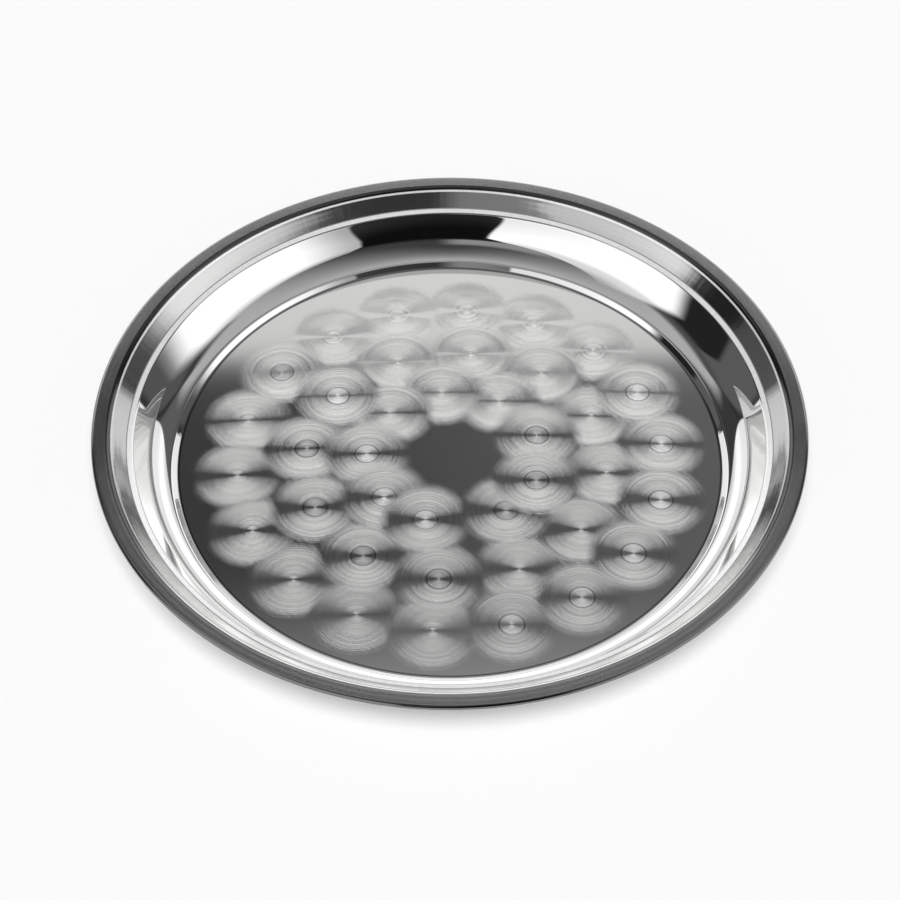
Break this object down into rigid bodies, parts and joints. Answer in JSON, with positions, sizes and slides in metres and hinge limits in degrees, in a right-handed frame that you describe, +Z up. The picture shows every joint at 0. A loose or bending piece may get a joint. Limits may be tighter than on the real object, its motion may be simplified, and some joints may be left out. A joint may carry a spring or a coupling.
{
  "type": "round serving tray",
  "caption": "Round pressed steel serving tray with a flat base, low base ring, sloping wall with a narrow ledge, and a lip rolled round a wire hoop.",
  "frame": {"origin": "middle of the underside of the flat base, on the surface the tray stands on", "axes": "+Z up, along the axis that the tray is round about; X and Y lie in the base and are interchangeable"},
  "size_m": [0.35, 0.35, 0.033],
  "materials": {
    "pan_steel": "mirror polished wall, swirl ground base, satin lip",
    "wire_steel": "drawn wire"
  },
  "bodies": {
    "root": {"tray_pan": "pan_steel", "rim_wire": "wire_steel"}
  },
  "joints": []
}
